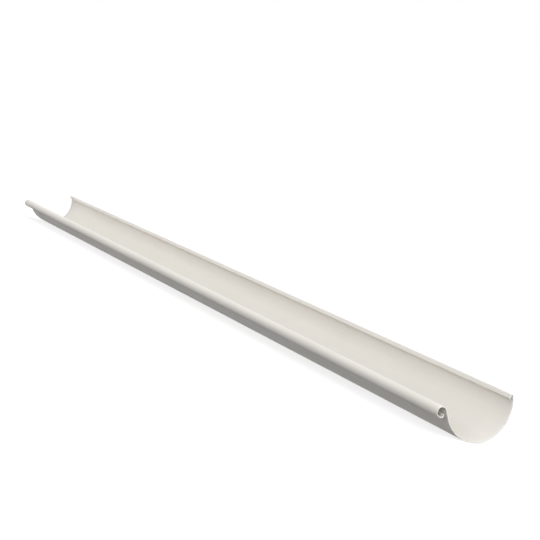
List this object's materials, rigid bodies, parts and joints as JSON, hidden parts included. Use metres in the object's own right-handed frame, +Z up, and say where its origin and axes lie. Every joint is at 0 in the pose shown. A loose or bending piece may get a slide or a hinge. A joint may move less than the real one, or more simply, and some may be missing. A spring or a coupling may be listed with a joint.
{
  "type": "gutter section",
  "caption": "Straight length of half-round eaves gutter in extruded rigid PVC, with an open spiral bead along the front edge, an inturned lip along the rear edge and both ends open.",
  "frame": {"origin": "middle of the footprint on the floor: centre of the bounding box's underside, at half the length", "axes": "+X along the gutter, +Y from the beaded front edge towards the rear edge with the lip, +Z up as the piece comes to rest on its round"},
  "size_m": [3, 0.1874, 0.1207],
  "materials": {
    "rigid_pvc": "smooth satin as extruded, warm off-white"
  },
  "bodies": {
    "root": {"gutter": "rigid_pvc"}
  },
  "joints": []
}
